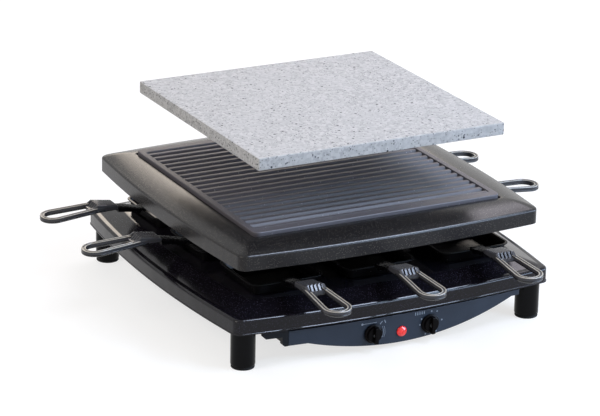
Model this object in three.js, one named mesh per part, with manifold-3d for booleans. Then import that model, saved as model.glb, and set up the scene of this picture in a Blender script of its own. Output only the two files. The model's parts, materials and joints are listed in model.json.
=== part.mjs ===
// A square raclette grill for eight pans. Lengths are in millimetres, +Z is up and the front faces -Y.
// The origin lies on the table top, under the middle of the tray.
import * as THREE from "three";
import { mergeVertices } from "three/addons/utils/BufferGeometryUtils.js";
import Module from "manifold-3d";

const wasm = await Module();
wasm.setup();

// Clearances: fit between pieces that touch, slip round a shaft or screw, overrun of a cutting tool
const fit = 0.3;
const slip = 0.3;
const overrun = 3;

// Feet: round moulded posts on rubber pads
const footSetIn = 30.6;
const footRadius = 13.8;
const footHeight = 43.4;
const footChamfer = 0.8;
const footSpigotRadius = 5;
const footSpigotHeight = 6;
const padThickness = 3;
const padSpigotRadius = 6;
const padSpigotHeight = 5;

// Tray: a pressed sheet whose four sides bow outwards, with a raised flat for the pans
const trayBeyondPans = 43;
const trayBow = 12.4;
const trayCorner = 10.2;
const trayRimHeight = 17.8;
const trayEdge = 1.2;
const trayLand = 5;
const traySlope = 24;
const trayRise = 9.2;
const traySheet = 1.6;
const wireHoleHalf = 13;
const wireHoleCorner = 6;

// Bottom cover, with a slot for the wires above the wiring box
const coverThickness = 2;
const coverSlotWidth = 24;
const coverSlotDepth = 12;

// Control panel: a bowed fascia whose lower edge is a crescent between two narrow strips. The crescent
// lies a little right of the middle, and a square shelf cuts off its left end. The housing shows as
// the panel's left end, and in a gap above the fascia.
const fasciaSetBack = 8;
const fasciaThickness = 3;
const fasciaTopGap = 4;
const fasciaEndLength = 29;
const fasciaOverhang = 3;
const fasciaStrip = 11;
const fasciaStripLength = 15;
const stripCorner = 3;
const shelfDrop = 11;
const shelfCorner = 2.5;
const crescentShift = 4;
const crescentDrop = 27;
const housingSetIn = 1.2;
const housingWall = 2;
const housingDepth = 35;
const housingSideGap = 7.6;

// Wiring box behind the control housing
const wiringBoxSetIn = 74;
const wiringBoxDepth = 35;
const wiringBoxHeight = 24;
const wiringBoxCorner = 10;
const wiringBoxWall = 2;
const mainsTerminalWidth = 30;
const mainsTerminalDepth = 14;
const mainsTerminalHeight = 16;

// Knobs, to both sides of the lamp, with their shafts and what they turn. The spread is a share of
// the crescent's half width.
const knobSpreadShare = 0.244898;
const knobDrop = 21.8;
const lampDrop = 24.9;
const knobRadius = 11;
const knobStandOff = 0.8;
const knobSkirt = 2.4;
const knobBodyRadius = 8.4;
const knobBodyDepth = 6.4;
const knobGripWidth = 4.6;
const knobGripDepth = 10.4;
const knobBore = 8;
const shaftRadius = 3;
const shaftInBush = 6;
const bushRadius = 4.6;
const bushLength = 11;
const thermostatWidth = 24;
const thermostatHeight = 14;
const thermostatBackGap = 6;
const selectorWidth = 20;
const selectorHeight = 13;
const selectorBackGap = 8;

// Signal lamp
const lensRadius = 6;
const lensDome = 3.2;
const lensFlange = 1;
const lampHolderRadius = 4.6;
const lampHolderLength = 20;
const lampCollarRadius = 7;
const lampCollarThickness = 3;

// Gland where the mains lead leaves the back of the tray
const glandHeight = 8.8;
const glandBore = 3.4;
const glandSleeve = 6;
const glandFlange = 8;
const glandFlangeThickness = 3;
const glandLength = 8;

// Column: a square tube that carries the hood and takes the wires up
const columnHalf = 20;
const columnCorner = 6;
const columnWall = 2;
const columnHeight = 36.7;
const terminalHeight = 14;
const terminalWidth = 30;
const terminalDepth = 12;

// Hood carrier: a flat cross that ends under the four corners of the hood
const carrierThickness = 2;
const carrierHubHalf = 28;
const carrierArmWidth = 22;
const screwSetIn = 31.7;
const screwRadius = 1.8;
const screwHeadRadius = 3.8;
const screwHeadHeight = 2.4;
const screwInBoss = 12;
const bossRadius = 4.5;
const bossBoreSpare = 2;
const bossShare = 2 / 3;

// Hood: a bowed square frame with a skirt, a crowned top and a well for the cast plate
const hoodLift = 2.6;
const hoodSetIn = 14.3;
const hoodBow = 8.8;
const hoodCorner = 10.7;
const hoodSkirt = 17.2;
const hoodEdge = 1.4;
const hoodCrown = 7.7;
const hoodSheet = 2;
const wellCorner = 2.5;
const wellDepth = 6.8;
const ledgeWidth = 9;
const hoodBorder = 41.2;

// Heating element: one bent tube in symmetrical loops, with its two ends in the column
const elementRadius = 3.25;
const elementHeight = 8;
const elementEnds = 12;
const elementInner = 39;
const elementMiddle = 66;
const elementSetIn = 37;
const elementBend = 12;
const elementSlotSpare = 2;
const clipWidth = 14;
const clipLength = 8;

// Cast grill plate with ribs from side to side
const plateGap = 0.5;
const plateCorner = 7;
const plateBody = 5.8;
const plateBorder = 4.7;
const plateEdge = 1;
const plateSideBorder = 7;
const plateFrontBorder = 12;
const ribPitch = 13.7;
const ribFoot = 9;
const ribTop = 4.6;
const ribHeight = 3.6;
const ribSunk = 0.5;

// Natural stone slab, shown lifted clear of the cast plate and a little to the right
const stoneSetIn = 0.9;
const stoneCorner = 1.8;
const stoneThickness = 13.9;
const stoneChamfer = 0.8;
const stoneLift = 70.1;
const stoneShift = 2.8;

// Pans: the spacing along a side, and how much further out than a pitch they lie. They set the
// size of the grill.
const panHalf = 45;
const panSpacing = 30;
const panOutset = 3;
const panCorner = 12;
const panDepth = 13;
const panSheet = 1;
const panLip = 2.6;
const panDraft = 2.6;
const panHeel = 1.4;

// Arm of a pan: a black bracket that climbs from the rim to the grip
const armRootWidth = 16;
const armTipWidth = 20.6;
const armThickness = 5.2;
const armTab = 2;
const armTabReach = 4;
const armHook = 4;
const armLength = 32;
const armRise = 6.3;

// How the arm climbs, as shares of its length and its rise
const armShares = [[0.13, 0.12], [0.47, 0.55], [0.8, 0.84], [1, 1]];

// Grip of a pan: a collar with a ribbed hollow in its face, and a long tapered loop
const collarWidth = 24;
const collarRise = 7.2;
const collarSlope = 4.9;
const collarEdge = 1.1;
const collarRun = 25.8;
const hollowRun = 4.7;
const hollowDepth = 5.3;
const hollowFloor = 3.2;
const hollowWidth = 17.6;
const grooveWidth = 1.7;
const groovePitch = 4.5;
const grooveCount = 4;
const grooveDepth = 1.4;
const railDrop = 2.6;
const railRoot = 11.3;
const loopLength = 61.5;
const loopRootHalf = 11.8;
const loopTipHalf = 16.5;
const loopRail = 5.4;
const loopThickness = 6.2;
const loopFall = 3.9;
const loopEdge = 1.1;

// Where the pans lie: along is the place beside the middle of its side, as a share of the pan pitch,
// and pushed is how far a pan is pushed in, as a share of its reach
const panPlaceShares = [
  { name: "front_left", turn: -90, along: -0.9725, pushed: 0.024 },
  { name: "front_mid", turn: -90, along: -0.0075, pushed: 0.024 },
  { name: "front_right", turn: -90, along: 1.0125, pushed: 0.024 },
  { name: "right_mid", turn: 0, along: -0.13, pushed: 0 },
  { name: "right_back", turn: 0, along: 0.88, pushed: 0.09 },
  { name: "back_mid", turn: 90, along: 0, pushed: 0.024 },
  { name: "left_back", turn: 180, along: -0.959, pushed: 0 },
  { name: "left_mid", turn: 180, along: 0.03, pushed: 0 },
];

// Facets
const sideSteps = 8;
const cornerSteps = 4;
const roundSteps = 20;
const smallRoundSteps = 12;
const crownSteps = 3;
const bendSteps = 4;
const loopSteps = 8;

// Reach from the middle of the grill to the middle of a pan, and the pitch of the pans
const panPitch = 2 * panHalf + panSpacing;
const panReach = panPitch + panOutset;

// Half widths, from the tray inwards, and the panel's between the front feet
const trayHalf = panReach + panHalf + trayBeyondPans;
const footPlace = trayHalf - footSetIn;
const hoodHalf = trayHalf - hoodSetIn;
const wellHalf = hoodHalf - hoodBorder;
const plateHalf = wellHalf - plateGap;
const stoneHalf = plateHalf - stoneSetIn;
const elementOuter = plateHalf - elementSetIn;
const screwPlace = hoodHalf - screwSetIn;
const housingHalfWidth = footPlace - footRadius - housingSideGap;
const fasciaHalfWidth = housingHalfWidth + fasciaOverhang;
const crescentHalfWidth = fasciaHalfWidth - fasciaStripLength;
const wiringBoxHalfWidth = housingHalfWidth - wiringBoxSetIn;
const shelfLeft = crescentShift - crescentHalfWidth + stripCorner;
const fasciaStart = fasciaEndLength - fasciaHalfWidth;
const lampPlace = crescentShift;
const thermostatPlace = lampPlace - crescentHalfWidth * knobSpreadShare;
const selectorPlace = lampPlace + crescentHalfWidth * knobSpreadShare;
const thermostatDepth = housingDepth - housingWall - bushLength - thermostatBackGap;
const selectorDepth = housingDepth - housingWall - bushLength - selectorBackGap;

// Heights, from the table upwards
const coverBottom = footHeight + fit;
const trayBottom = coverBottom;
const trayRim = trayBottom + trayRimHeight;
const trayTop = trayRim + trayRise;
const panBottom = trayTop + fit;
const panRim = panBottom + panDepth;
const columnBottom = trayTop + fit;
const columnTop = columnBottom + columnHeight;
const carrierBottom = columnTop + fit;
const carrierTop = carrierBottom + carrierThickness;
const hoodBottom = carrierTop + hoodLift;
const hoodRim = hoodBottom + hoodSkirt;
const hoodTop = hoodRim + hoodCrown;
const ledgeTop = hoodTop - wellDepth;
const plateBottom = ledgeTop + fit;
const plateFloor = plateBottom + plateBody;
const plateTop = plateFloor + plateBorder;
const stoneBottom = plateTop + stoneLift;
const elementLevel = carrierTop + elementHeight;

const quarterTurn = Math.PI / 2;

// Solids for cutting and joining
function toSolid(geometry) {
  const bare = geometry.clone();
  bare.deleteAttribute("normal");
  bare.deleteAttribute("uv");
  const merged = mergeVertices(bare);
  return new wasm.Manifold(new wasm.Mesh({
    numProp: 3,
    vertProperties: new Float32Array(merged.attributes.position.array),
    triVerts: new Uint32Array(merged.index.array),
  }));
}

function toGeometry(solid) {
  const mesh = solid.getMesh();
  const geometry = new THREE.BufferGeometry();
  geometry.setAttribute("position", new THREE.BufferAttribute(mesh.vertProperties, mesh.numProp));
  geometry.setIndex(new THREE.BufferAttribute(mesh.triVerts, 1));
  geometry.computeVertexNormals();
  return geometry;
}

function join(first, ...others) {
  return toGeometry(others.reduce((solid, other) => solid.add(toSolid(other)), toSolid(first)));
}

function cut(first, ...tools) {
  return toGeometry(tools.reduce((solid, tool) => solid.subtract(toSolid(tool)), toSolid(first)));
}

function common(first, second) {
  return toGeometry(toSolid(first).intersect(toSolid(second)));
}

// Plan outlines, counter-clockwise from the left end of the front side
function bowedSquare(half, bow, corner) {
  const core = half - bow - corner;
  const lean = Math.atan(2 * bow / core);
  const front = [];
  for (let step = 0; step <= sideSteps; step++) {
    const along = 2 * step / sideSteps - 1;
    const angle = Math.atan(2 * bow * along / core) - quarterTurn;
    front.push(new THREE.Vector2(
      along * core + corner * Math.cos(angle),
      corner * Math.sin(angle) - core - bow * (1 - along * along)));
  }
  for (let step = 1; step < cornerSteps; step++) {
    const angle = lean - quarterTurn + (quarterTurn - 2 * lean) * step / cornerSteps;
    front.push(new THREE.Vector2(core + corner * Math.cos(angle), corner * Math.sin(angle) - core));
  }
  const centre = new THREE.Vector2();
  return [0, 1, 2, 3].flatMap((side) =>
    front.map((point) => point.clone().rotateAround(centre, side * quarterTurn)));
}

function roundedRectangle(halfWidth, halfDepth, corner) {
  const points = [];
  for (const [x, y, start] of [[1, -1, 3], [1, 1, 0], [-1, 1, 1], [-1, -1, 2]]) {
    for (let step = 0; step <= cornerSteps; step++) {
      const angle = (start + step / cornerSteps) * quarterTurn;
      points.push(new THREE.Vector2(
        x * (halfWidth - corner) + corner * Math.cos(angle),
        y * (halfDepth - corner) + corner * Math.sin(angle)));
    }
  }
  return points;
}

function atHeight(outline, height) {
  return outline.map((point) => new THREE.Vector3(point.x, point.y, height));
}

// A skin through rings of equally many points. An endless skin joins its last ring to its first;
// otherwise both ends are closed by a fan.
function skin(rings, endless) {
  const count = rings[0].length;
  const points = rings.flat();
  const faces = [];
  const spans = endless ? rings.length : rings.length - 1;
  for (let span = 0; span < spans; span++) {
    const low = span * count;
    const high = (span + 1) % rings.length * count;
    for (let step = 0; step < count; step++) {
      const next = (step + 1) % count;
      faces.push(low + step, low + next, high + next, low + step, high + next, high + step);
    }
  }
  if (!endless) {
    const last = (rings.length - 1) * count;
    for (let step = 1; step < count - 1; step++) {
      faces.push(0, step + 1, step, last, last + step, last + step + 1);
    }
  }
  const geometry = new THREE.BufferGeometry().setFromPoints(points);
  geometry.setIndex(faces);
  geometry.computeVertexNormals();
  return geometry;
}

// Simple solids: a plate of some outline between two heights, a box and a round rod
function plate(outline, bottom, top, holes = []) {
  const shape = outline instanceof THREE.Shape ? outline : new THREE.Shape(outline);
  shape.holes.push(...holes.map((hole) => new THREE.Path(hole)));
  const geometry = new THREE.ExtrudeGeometry(shape, {
    depth: top - bottom, bevelEnabled: false, curveSegments: roundSteps,
  });
  return geometry.translate(0, 0, bottom);
}

function box(width, depth, bottom, top) {
  return new THREE.BoxGeometry(width, depth, top - bottom).translate(0, 0, (top + bottom) / 2);
}

function rod(radius, bottom, top, steps = roundSteps) {
  return new THREE.CylinderGeometry(radius, radius, top - bottom, steps)
    .rotateX(quarterTurn).translate(0, 0, (top + bottom) / 2);
}

// A turned piece about Z, from a profile of radius and height
function turned(profile, steps = roundSteps) {
  const points = profile.map(([radius, height]) => new THREE.Vector2(radius, height));
  return new THREE.LatheGeometry(points, steps).rotateX(quarterTurn);
}

// A profile in the XZ plane, drawn out along Y to both sides of the middle
function drawnAlongY(profile, width) {
  const shape = new THREE.Shape(profile.map(([x, z]) => new THREE.Vector2(x, z)));
  const geometry = new THREE.ExtrudeGeometry(shape, { depth: width, bevelEnabled: false });
  return geometry.translate(0, 0, -width / 2).rotateX(quarterTurn);
}

// Finishes
function finish(color, roughness, metalness) {
  return new THREE.MeshStandardMaterial({ color, roughness, metalness });
}

const finishes = {
  enamel: finish("#2b2b30", 0.35, 0.2),
  hoodCoat: finish("#4a4945", 0.5, 0.3),
  castPlate: finish("#5b5c61", 0.55, 0.5),
  stone: finish("#d0cdd4", 0.8, 0),
  fascia: finish("#3f4853", 0.45, 0.1),
  blackPlastic: finish("#17171a", 0.45, 0),
  darkPlastic: finish("#26282d", 0.6, 0),
  rubber: finish("#121214", 0.85, 0),
  gripPlastic: finish("#8e8f92", 0.4, 0.1),
  panCoat: finish("#1c1c1e", 0.25, 0.3),
  steel: finish("#9a9ca0", 0.35, 0.9),
  blackSteel: finish("#202124", 0.5, 0.6),
  ceramic: finish("#e4e0d6", 0.7, 0),
  brass: finish("#b59a55", 0.4, 0.9),
  lens: finish("#e0322c", 0.2, 0),
};

const grill = new THREE.Group();

function put(parent, name, geometry, material) {
  const mesh = new THREE.Mesh(geometry, material);
  mesh.name = name;
  parent.add(mesh);
  return mesh;
}

function groupAt(x, y, z) {
  const group = new THREE.Group();
  group.position.set(x, y, z);
  grill.add(group);
  return group;
}

// Feet and their pads
function footShape() {
  const bottom = padThickness + fit;
  const recessTop = padThickness + padSpigotHeight + fit;
  return turned([
    [0, recessTop], [padSpigotRadius + fit, recessTop], [padSpigotRadius + fit, bottom],
    [footRadius - footChamfer, bottom], [footRadius, bottom + footChamfer],
    [footRadius, footHeight], [footSpigotRadius, footHeight],
    [footSpigotRadius, footHeight + footSpigotHeight], [0, footHeight + footSpigotHeight],
  ]);
}

function footPadShape() {
  return turned([
    [0, 0], [footRadius - footChamfer, 0], [footRadius, footChamfer], [footRadius, padThickness],
    [padSpigotRadius, padThickness], [padSpigotRadius, padThickness + padSpigotHeight],
    [0, padThickness + padSpigotHeight],
  ]);
}

const corners = [
  { name: "front_left", x: -1, y: -1 },
  { name: "front_right", x: 1, y: -1 },
  { name: "back_left", x: -1, y: 1 },
  { name: "back_right", x: 1, y: 1 },
];

for (const corner of corners) {
  const place = groupAt(corner.x * footPlace, corner.y * footPlace, 0);
  put(place, `foot_${corner.name}`, footShape(), finishes.blackPlastic);
  put(place, `foot_pad_${corner.name}`, footPadShape(), finishes.rubber);
}

// Tray
const trayFlatHalf = trayHalf - trayLand - traySlope;
const glandLevel = trayBottom + glandHeight;

function trayShape() {
  const rim = (inset) => bowedSquare(trayHalf - inset, trayBow, trayCorner);
  const flat = bowedSquare(trayFlatHalf, trayBow, trayCorner);
  const hole = bowedSquare(wireHoleHalf, 0, wireHoleCorner);
  const skinned = skin([
    atHeight(rim(0), trayBottom),
    atHeight(rim(0), trayRim - trayEdge),
    atHeight(rim(trayEdge), trayRim),
    atHeight(rim(trayLand), trayRim),
    atHeight(flat, trayTop),
    atHeight(hole, trayTop),
    atHeight(hole, trayTop - traySheet),
    atHeight(flat, trayTop - traySheet),
    atHeight(rim(trayLand), trayRim - traySheet),
    atHeight(rim(traySheet + trayEdge), trayRim - traySheet),
    atHeight(rim(traySheet), trayRim - traySheet - trayEdge),
    atHeight(rim(traySheet), trayBottom),
  ], true);
  const leadHole = rod(glandSleeve + fit, trayHalf - glandLength, trayHalf + overrun)
    .rotateX(-quarterTurn).translate(0, 0, glandLevel);
  return cut(skinned, leadHole);
}

put(grill, "base_tray", trayShape(), finishes.enamel);

// Gland in the back of the skirt
const gland = groupAt(0, trayHalf, glandLevel);
gland.rotation.x = -quarterTurn;
put(gland, "cord_gland", turned([
  [glandBore, -glandLength], [glandSleeve, -glandLength], [glandSleeve, fit], [glandFlange, fit],
  [glandFlange, fit + glandFlangeThickness], [glandBore, fit + glandFlangeThickness],
  [glandBore, -glandLength],
]), finishes.blackPlastic);

// Bottom cover
const wiringBoxFront = trayHalf - fasciaSetBack - fasciaThickness - housingDepth - 2 * fit;
const wiringBoxMiddle = wiringBoxFront - wiringBoxDepth / 2;

function coverShape() {
  const outline = bowedSquare(trayHalf - traySheet - fit, trayBow, trayCorner);
  const slot = roundedRectangle(coverSlotWidth / 2, coverSlotDepth / 2, coverSlotDepth / 4)
    .map((point) => point.add(new THREE.Vector2(0, -wiringBoxMiddle)));
  const sheet = plate(outline, coverBottom, coverBottom + coverThickness, [slot]);
  const spigotHoles = corners.map((corner) =>
    rod(footSpigotRadius + fit, coverBottom - overrun, coverBottom + coverThickness + overrun)
      .translate(corner.x * footPlace, corner.y * footPlace, 0));
  return cut(sheet, ...spigotHoles);
}

put(grill, "bottom_cover", coverShape(), finishes.darkPlastic);

// Control panel. Its plan follows the bow of the tray; this is how far forward its face lies at x.
const panelTop = coverBottom - fit;
const panelStrip = panelTop - fasciaStrip;
const crescentBottom = panelStrip - crescentDrop;
const crescentRadius = (crescentHalfWidth ** 2 + crescentDrop ** 2) / (2 * crescentDrop);
const fasciaHalf = trayHalf - fasciaSetBack;

function fasciaFace(x) {
  const core = fasciaHalf - trayBow - trayCorner;
  return fasciaHalf - trayBow * (x / core) ** 2;
}

// The front outline, set in from the fascia's own by some inset, and reaching up to some height
function crescentShape(halfWidth, inset, top) {
  const strip = panelStrip + inset;
  const radius = crescentRadius - inset;
  const middle = crescentBottom + crescentRadius;
  const shelf = strip - shelfDrop;
  const left = shelfLeft + inset;
  const leftHalf = Math.acos((middle - shelf) / radius);
  const rightHalf = Math.acos((middle - strip) / radius);
  const shape = new THREE.Shape();
  shape.moveTo(-halfWidth, top);
  shape.lineTo(-halfWidth, strip + stripCorner);
  shape.lineTo(stripCorner - halfWidth, strip);
  shape.lineTo(left, strip);
  shape.lineTo(left, shelf + shelfCorner);
  shape.lineTo(left + shelfCorner, shelf);
  shape.absarc(crescentShift, middle, radius, -quarterTurn - leftHalf, rightHalf - quarterTurn, false);
  shape.lineTo(halfWidth, strip);
  shape.lineTo(halfWidth, top);
  shape.closePath();
  return shape;
}

// A front outline drawn backwards from one distance before the middle of the grill to another
function crescentBlock(halfWidth, inset, top, front, back) {
  return plate(crescentShape(halfWidth, inset, top), back, front).rotateX(quarterTurn);
}

function bowedBlock(half) {
  return plate(bowedSquare(half, trayBow, trayCorner), -overrun, panelTop + overrun);
}

const knobLevel = panelTop - knobDrop;
const lampLevel = panelTop - lampDrop;

function panelHole(radius, x, level) {
  return rod(radius, fasciaHalf - housingDepth, fasciaHalf + overrun, smallRoundSteps)
    .rotateX(quarterTurn).translate(x, 0, level);
}

// All that lies left of some distance before the fascia's start
function leftOfFascia(distance) {
  return box(trayHalf, 2 * trayHalf, -overrun, panelTop + overrun)
    .translate(fasciaStart - distance - trayHalf / 2, 0, 0);
}

// A curved sheet of the panel's outline, from its front face to some depth
function panelSheet(top, depth) {
  const front = crescentBlock(fasciaHalfWidth, 0, top, trayHalf, trayHalf / 2);
  return cut(common(front, bowedBlock(fasciaHalf)), bowedBlock(fasciaHalf - depth));
}

function fasciaShape() {
  return cut(
    panelSheet(panelTop - fasciaTopGap, fasciaThickness),
    leftOfFascia(0),
    panelHole(shaftRadius + slip, thermostatPlace, knobLevel),
    panelHole(shaftRadius + slip, selectorPlace, knobLevel),
    panelHole(lampHolderRadius + slip, lampPlace, lampLevel),
  );
}

function housingShape() {
  const back = fasciaHalf - fasciaThickness - fit - housingDepth;
  const outer = crescentBlock(housingHalfWidth, housingSetIn, panelTop, trayHalf, back);
  const inner = crescentBlock(
    housingHalfWidth - housingWall, housingSetIn + housingWall, panelTop + overrun,
    trayHalf + overrun, back + housingWall);
  const shell = cut(common(outer, bowedBlock(fasciaHalf - fasciaThickness - fit)), inner);
  const end = common(panelSheet(panelTop, fasciaThickness + fit + housingWall), leftOfFascia(fit));
  return join(shell, end);
}

put(grill, "control_fascia", fasciaShape(), finishes.fascia);
put(grill, "control_housing", housingShape(), finishes.darkPlastic);

// Wiring box with the terminal block for the mains lead
function wiringBoxShape() {
  const bottom = panelTop - wiringBoxHeight;
  const outline = (inset) => roundedRectangle(
    wiringBoxHalfWidth - inset, wiringBoxDepth / 2 - inset, wiringBoxCorner - inset);
  const outer = plate(outline(0), bottom, panelTop);
  const inner = plate(outline(wiringBoxWall), bottom + wiringBoxWall, panelTop + overrun);
  return cut(outer, inner);
}

const wiring = groupAt(0, -wiringBoxMiddle, 0);
put(wiring, "wiring_box", wiringBoxShape(), finishes.darkPlastic);
const boxFloor = panelTop - wiringBoxHeight + wiringBoxWall + fit;
const mainsTerminal = box(mainsTerminalWidth, mainsTerminalDepth, boxFloor, boxFloor + mainsTerminalHeight);
put(wiring, "mains_terminal", mainsTerminal, finishes.ceramic);

// Pieces on the panel are drawn along their own +Z, which points out of the panel
function onPanel(x, level) {
  const group = groupAt(x, -fasciaFace(x), level);
  group.rotation.x = quarterTurn;
  return group;
}

const shaftEnd = knobStandOff + knobBore;
const bushFront = -fasciaThickness - fit;
const bushBack = bushFront - bushLength;
const shaftBack = bushFront - shaftInBush;

function knobShape() {
  const low = knobStandOff;
  const body = turned([
    [0, low], [knobRadius, low], [knobRadius, low + knobSkirt / 2],
    [knobBodyRadius + knobSkirt / 2, low + knobSkirt], [knobBodyRadius, low + knobSkirt],
    [knobBodyRadius - knobSkirt / 2, low + knobBodyDepth], [0, low + knobBodyDepth],
  ], 2 * smallRoundSteps);
  const bar = box(knobGripWidth, 2 * knobRadius - knobSkirt, low + knobSkirt / 2, low + knobGripDepth);
  return cut(join(body, bar), rod(shaftRadius + slip, low - overrun, shaftEnd + fit, smallRoundSteps));
}

function switchShape(width, height, depth) {
  const body = box(width, height, bushBack - depth, bushBack);
  const bush = rod(bushRadius, bushBack - depth / 2, bushFront, smallRoundSteps);
  const bore = rod(shaftRadius + slip, shaftBack - slip, bushFront + overrun, smallRoundSteps);
  return cut(join(body, bush), bore);
}

function shaftShape() {
  return rod(shaftRadius, shaftBack, shaftEnd, smallRoundSteps);
}

const thermostat = onPanel(thermostatPlace, knobLevel);
put(thermostat, "thermostat_knob", knobShape(), finishes.blackPlastic);
put(thermostat, "thermostat_shaft", shaftShape(), finishes.steel);
const thermostatSolid = switchShape(thermostatWidth, thermostatHeight, thermostatDepth);
put(thermostat, "thermostat", thermostatSolid, finishes.ceramic);

const selector = onPanel(selectorPlace, knobLevel);
put(selector, "selector_knob", knobShape(), finishes.blackPlastic);
put(selector, "selector_shaft", shaftShape(), finishes.steel);
const selectorSolid = switchShape(selectorWidth, selectorHeight, selectorDepth);
put(selector, "selector_switch", selectorSolid, finishes.darkPlastic);

const lamp = onPanel(lampPlace, lampLevel);
put(lamp, "lamp_lens", turned([
  [0, fit], [lensRadius, fit], [lensRadius, fit + lensFlange],
  [lensRadius * Math.cos(quarterTurn / 3), fit + lensFlange + lensDome / 2],
  [lensRadius * Math.cos(2 * quarterTurn / 3), fit + lensFlange + lensDome * Math.cos(quarterTurn / 3)],
  [0, fit + lensFlange + lensDome],
]), finishes.lens);
put(lamp, "lamp_holder", join(
  rod(lampHolderRadius, -lampHolderLength, 0, smallRoundSteps),
  rod(lampCollarRadius, bushFront - lampCollarThickness, bushFront, smallRoundSteps),
), finishes.blackPlastic);

// Column with the terminal block for the element
const columnOutline = (inset) =>
  roundedRectangle(columnHalf - inset, columnHalf - inset, columnCorner - inset);
put(grill, "column", plate(columnOutline(0), columnBottom, columnTop, [columnOutline(columnWall)]),
  finishes.blackSteel);
put(grill, "element_terminal",
  box(terminalWidth, terminalDepth, columnBottom, columnBottom + terminalHeight), finishes.ceramic);

// Hood carrier: two crossed bars and a hub, with a slot for the element's ends
function carrierShape() {
  const armHalfLength = (screwPlace + bossRadius / 2) * Math.SQRT2;
  const bar = roundedRectangle(armHalfLength, carrierArmWidth / 2, carrierArmWidth / 4);
  const bars = [1, -1].map((turn) =>
    plate(bar, carrierBottom, carrierTop).rotateZ(turn * quarterTurn / 2));
  const hub = plate(
    roundedRectangle(carrierHubHalf, carrierHubHalf, columnCorner), carrierBottom, carrierTop);
  const slot = box(
    2 * (elementEnds + elementRadius + fit), 2 * (elementRadius + elementSlotSpare),
    carrierBottom - overrun, carrierTop + overrun);
  const screwHoles = corners.map((corner) =>
    rod(screwRadius + slip, carrierBottom - overrun, carrierTop + overrun, smallRoundSteps)
      .translate(corner.x * screwPlace, corner.y * screwPlace, 0));
  return cut(join(hub, ...bars), slot, ...screwHoles);
}

put(grill, "hood_carrier", carrierShape(), finishes.blackSteel);

// Screws, from under the carrier up into the hood's bosses
const bossBottom = carrierTop + fit;

for (const corner of corners) {
  const place = groupAt(corner.x * screwPlace, corner.y * screwPlace, 0);
  put(place, `hood_screw_${corner.name}`, turned([
    [0, carrierBottom - fit - screwHeadHeight], [screwHeadRadius, carrierBottom - fit - screwHeadHeight],
    [screwHeadRadius, carrierBottom - fit], [screwRadius, carrierBottom - fit],
    [screwRadius, bossBottom + screwInBoss], [0, bossBottom + screwInBoss],
  ], smallRoundSteps), finishes.steel);
}

// Hood
function crownLevel(share) {
  return hoodRim + hoodCrown * (1 - (1 - share) ** 2);
}

function hoodShape() {
  const between = (from, to, share) => from + (to - from) * share;
  const ring = (half, share, height) => atHeight(bowedSquare(
    half, between(hoodBow, 0, share), between(hoodCorner, wellCorner, share)), height);
  const topRing = (step) => {
    const share = step / crownSteps;
    return ring(between(hoodHalf - hoodEdge, wellHalf, share), share, crownLevel(share));
  };
  const underRing = (step) => {
    const share = step / crownSteps;
    const half = between(hoodHalf - hoodEdge - hoodSheet, wellHalf + hoodSheet, share);
    return ring(half, share, crownLevel(share) - hoodSheet);
  };
  const rings = [
    ring(hoodHalf, 0, hoodBottom),
    ring(hoodHalf, 0, hoodRim - hoodEdge),
  ];
  for (let step = 0; step <= crownSteps; step++) rings.push(topRing(step));
  rings.push(
    ring(wellHalf, 1, ledgeTop),
    ring(wellHalf - ledgeWidth, 1, ledgeTop),
    ring(wellHalf - ledgeWidth, 1, ledgeTop - hoodSheet),
    ring(wellHalf + hoodSheet, 1, ledgeTop - hoodSheet),
  );
  for (let step = crownSteps; step >= 0; step--) rings.push(underRing(step));
  rings.push(
    ring(hoodHalf - hoodSheet, 0, hoodRim - hoodEdge - hoodSheet),
    ring(hoodHalf - hoodSheet, 0, hoodBottom),
  );
  const bosses = corners.map((corner) =>
    rod(bossRadius, bossBottom, hoodRim + hoodCrown * bossShare, smallRoundSteps)
      .translate(corner.x * screwPlace, corner.y * screwPlace, 0));
  const bores = corners.map((corner) =>
    rod(screwRadius + slip, bossBottom - overrun, bossBottom + screwInBoss + bossBoreSpare, smallRoundSteps)
      .translate(corner.x * screwPlace, corner.y * screwPlace, 0));
  return cut(join(skin(rings, true), ...bosses), ...bores);
}

put(grill, "hood_frame", hoodShape(), finishes.hoodCoat);

// A wire path with round bends, whose steps fall on its own points
class BentPath extends THREE.Curve {
  constructor(points) {
    super();
    this.points = points;
  }

  getPoint(share, target = new THREE.Vector3()) {
    const place = share * (this.points.length - 1);
    const index = Math.min(Math.floor(place), this.points.length - 2);
    return target.lerpVectors(this.points[index], this.points[index + 1], place - index);
  }

  getPointAt(share, target) {
    return this.getPoint(share, target);
  }

  getTangentAt(share, target) {
    return this.getTangent(share, target);
  }
}

function bentTube(corners3d, bend, radius) {
  const points = [corners3d[0]];
  for (let index = 1; index < corners3d.length - 1; index++) {
    const corner = corners3d[index];
    const before = corners3d[index - 1].clone().sub(corner).normalize();
    const after = corners3d[index + 1].clone().sub(corner).normalize();
    const centre = corner.clone().addScaledVector(before, bend).addScaledVector(after, bend);
    for (let step = 0; step <= bendSteps; step++) {
      const angle = quarterTurn * step / bendSteps;
      points.push(centre.clone()
        .addScaledVector(after, -bend * Math.cos(angle))
        .addScaledVector(before, -bend * Math.sin(angle)));
    }
  }
  points.push(corners3d.at(-1));
  const section = new THREE.Shape();
  section.absarc(0, 0, radius, 0, 4 * quarterTurn);
  return new THREE.ExtrudeGeometry(section, {
    extrudePath: new BentPath(points), steps: points.length - 1, curveSegments: 4, bevelEnabled: false,
  });
}

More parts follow.
